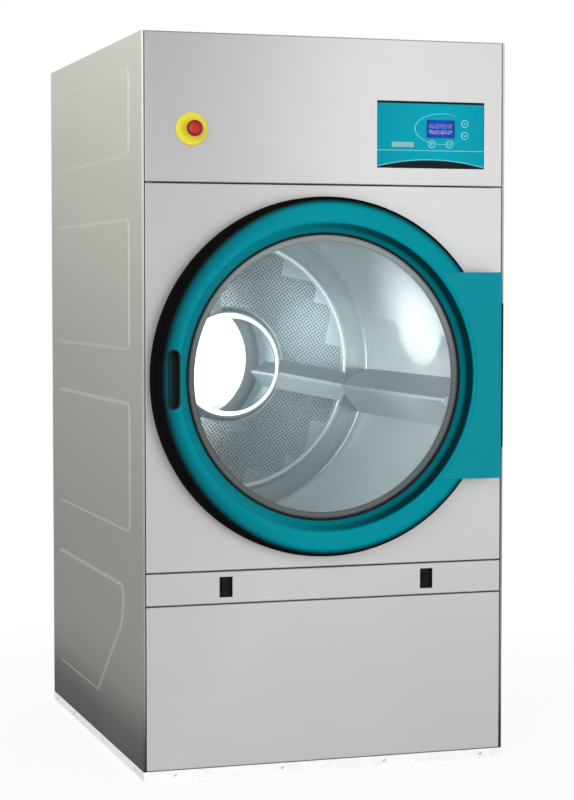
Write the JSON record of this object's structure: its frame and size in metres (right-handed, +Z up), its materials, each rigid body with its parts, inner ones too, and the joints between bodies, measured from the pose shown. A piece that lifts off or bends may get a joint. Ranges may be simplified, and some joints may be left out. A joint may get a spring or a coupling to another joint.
{
  "type": "industrial tumble dryer",
  "caption": "Industrial tumble dryer with a round glass door in a thick ring, a control strip with an emergency stop above it and a filter drawer below",
  "frame": {"origin": "on the floor, below the middle of the whole machine, with the door and the exhaust spigot", "axes": "+Z up, the front with the door faces -Y, +X on the right of someone who faces the door"},
  "size_m": [0.946, 1.22, 1.812],
  "materials": {
    "stainless_front": "brushed stainless sheet",
    "grey_sheet": "light greenish-grey paint, satin",
    "galvanised_sheet": "galvanised sheet",
    "teal_paint": "smooth teal paint, semi-gloss",
    "black_plastic": "matt black",
    "black_steel": "black paint, satin",
    "bright_steel": "turned steel",
    "drum_steel": "brushed stainless",
    "cast_grey": "grey casting",
    "grey_rubber": "mid-grey rubber",
    "black_rubber": "black rubber",
    "clear_glass": "clear float glass",
    "teal_overlay": "printed teal film",
    "display_blue": "blue-violet display",
    "board_green": "circuit board",
    "stop_yellow": "yellow, satin",
    "stop_red": "red, glossy"
  },
  "bodies": {
    "cabinet": {"air_chute": "galvanised_sheet", "air_inlet_grille": "grey_sheet", "base_frame": "galvanised_sheet", "bearing_housing": "cast_grey", "control_board": "board_green", "control_fascia": "stainless_front", "control_housing": "black_plastic", "control_overlay": "teal_overlay", "display_window": "display_blue", "door_catch": "black_plastic", "door_surround_panel": "stainless_front", "drum_belt": "black_rubber", "drum_motor": "cast_grey", "estop_collar": "stop_yellow", "estop_contact_block": "black_plastic", "exhaust_spigot": "galvanised_sheet", "fan_housing": "galvanised_sheet", "fan_motor": "cast_grey", "filter_housing": "galvanised_sheet", "heater_box": "galvanised_sheet", "heater_elements": "bright_steel", "hinge_brackets": "black_steel", "hinge_pin": "bright_steel", "left_side_panel": "grey_sheet", "lower_front_panel": "stainless_front", "rear_bulkhead": "galvanised_sheet", "rear_lower_panel": "grey_sheet", "rear_upper_panel": "grey_sheet", "right_side_panel": "grey_sheet", "shaft_bearing": "bright_steel", "top_panel": "grey_sheet", "tub_shell": "galvanised_sheet"},
    "door": {"door_ring": "teal_paint", "door_hinge_plate": "teal_paint", "door_inner_pan": "drum_steel", "door_gasket": "grey_rubber", "door_glass": "clear_glass", "door_seal": "black_rubber", "door_handle_cup": "black_plastic", "hinge_knuckle": "black_steel"},
    "drum": {"drum_shell": "drum_steel", "drum_rear_wall": "drum_steel", "drum_lifters": "drum_steel", "drum_shaft": "bright_steel", "drum_pulley": "cast_grey"},
    "motor_rotor": {"motor_pulley": "cast_grey"},
    "fan_rotor": {"fan_impeller": "cast_grey"},
    "filter_drawer": {"drawer_front": "stainless_front", "filter_frame": "galvanised_sheet", "filter_screen": "drum_steel", "latch_cups": "black_plastic"},
    "left_latch": {"latch_slider_left": "black_plastic"},
    "right_latch": {"latch_slider_right": "black_plastic"},
    "stop_stem": {"estop_plunger": "black_plastic"},
    "stop_head": {"estop_head": "stop_red"},
    "upper_menu_key": {"key_upper_right": "teal_overlay"},
    "lower_menu_key": {"key_lower_right": "teal_overlay"},
    "left_bottom_key": {"key_bottom_left": "teal_overlay"},
    "right_bottom_key": {"key_bottom_right": "teal_overlay"}
  },
  "joints": [
    {"name": "door_hinge", "type": "hinge", "parent": "cabinet", "child": "door", "pos_m": [0.44, -0.6, 0.979], "axis": [0, 0, 1], "range_deg": [0, 180]},
    {"name": "drum_spin", "type": "hinge", "parent": "cabinet", "child": "drum", "pos_m": [-0.012, 0, 0.979], "axis": [0, 1, 0], "continuous": true},
    {"name": "motor_spin", "type": "hinge", "parent": "cabinet", "child": "motor_rotor", "pos_m": [0.25, 0.49, 0.3], "axis": [0, 1, 0], "continuous": true},
    {"name": "fan_spin", "type": "hinge", "parent": "cabinet", "child": "fan_rotor", "pos_m": [-0.15, 0.28, 0.215], "axis": [1, 0, 0], "continuous": true},
    {"name": "filter_slide", "type": "slide", "parent": "cabinet", "child": "filter_drawer", "axis": [0, -1, 0], "range_m": [0, 0.55]},
    {"name": "left_latch_slide", "type": "slide", "parent": "filter_drawer", "child": "left_latch", "axis": [1, 0, 0], "range_m": [0, 0.006], "stiffness_N_per_m": 200},
    {"name": "right_latch_slide", "type": "slide", "parent": "filter_drawer", "child": "right_latch", "axis": [-1, 0, 0], "range_m": [0, 0.006], "stiffness_N_per_m": 200},
    {"name": "stop_push", "type": "slide", "parent": "cabinet", "child": "stop_stem", "axis": [0, 1, 0], "range_m": [0, 0.006], "stiffness_N_per_m": 300},
    {"name": "stop_twist", "type": "hinge", "parent": "stop_stem", "child": "stop_head", "pos_m": [-0.346, -0.58, 1.58], "axis": [0, 1, 0], "range_deg": [0, 45], "stiffness_Nm_per_rad": 0.05},
    {"name": "upper_menu_key_press", "type": "slide", "parent": "cabinet", "child": "upper_menu_key", "axis": [0, 1, 0], "range_m": [0, 0.0006], "stiffness_N_per_m": 400},
    {"name": "lower_menu_key_press", "type": "slide", "parent": "cabinet", "child": "lower_menu_key", "axis": [0, 1, 0], "range_m": [0, 0.0006], "stiffness_N_per_m": 400},
    {"name": "left_bottom_key_press", "type": "slide", "parent": "cabinet", "child": "left_bottom_key", "axis": [0, 1, 0], "range_m": [0, 0.0006], "stiffness_N_per_m": 400},
    {"name": "right_bottom_key_press", "type": "slide", "parent": "cabinet", "child": "right_bottom_key", "axis": [0, 1, 0], "range_m": [0, 0.0006], "stiffness_N_per_m": 400}
  ],
  "couplings": [
    {"joint": "motor_spin", "follows": "drum_spin", "ratio": 7.3333}
  ]
}
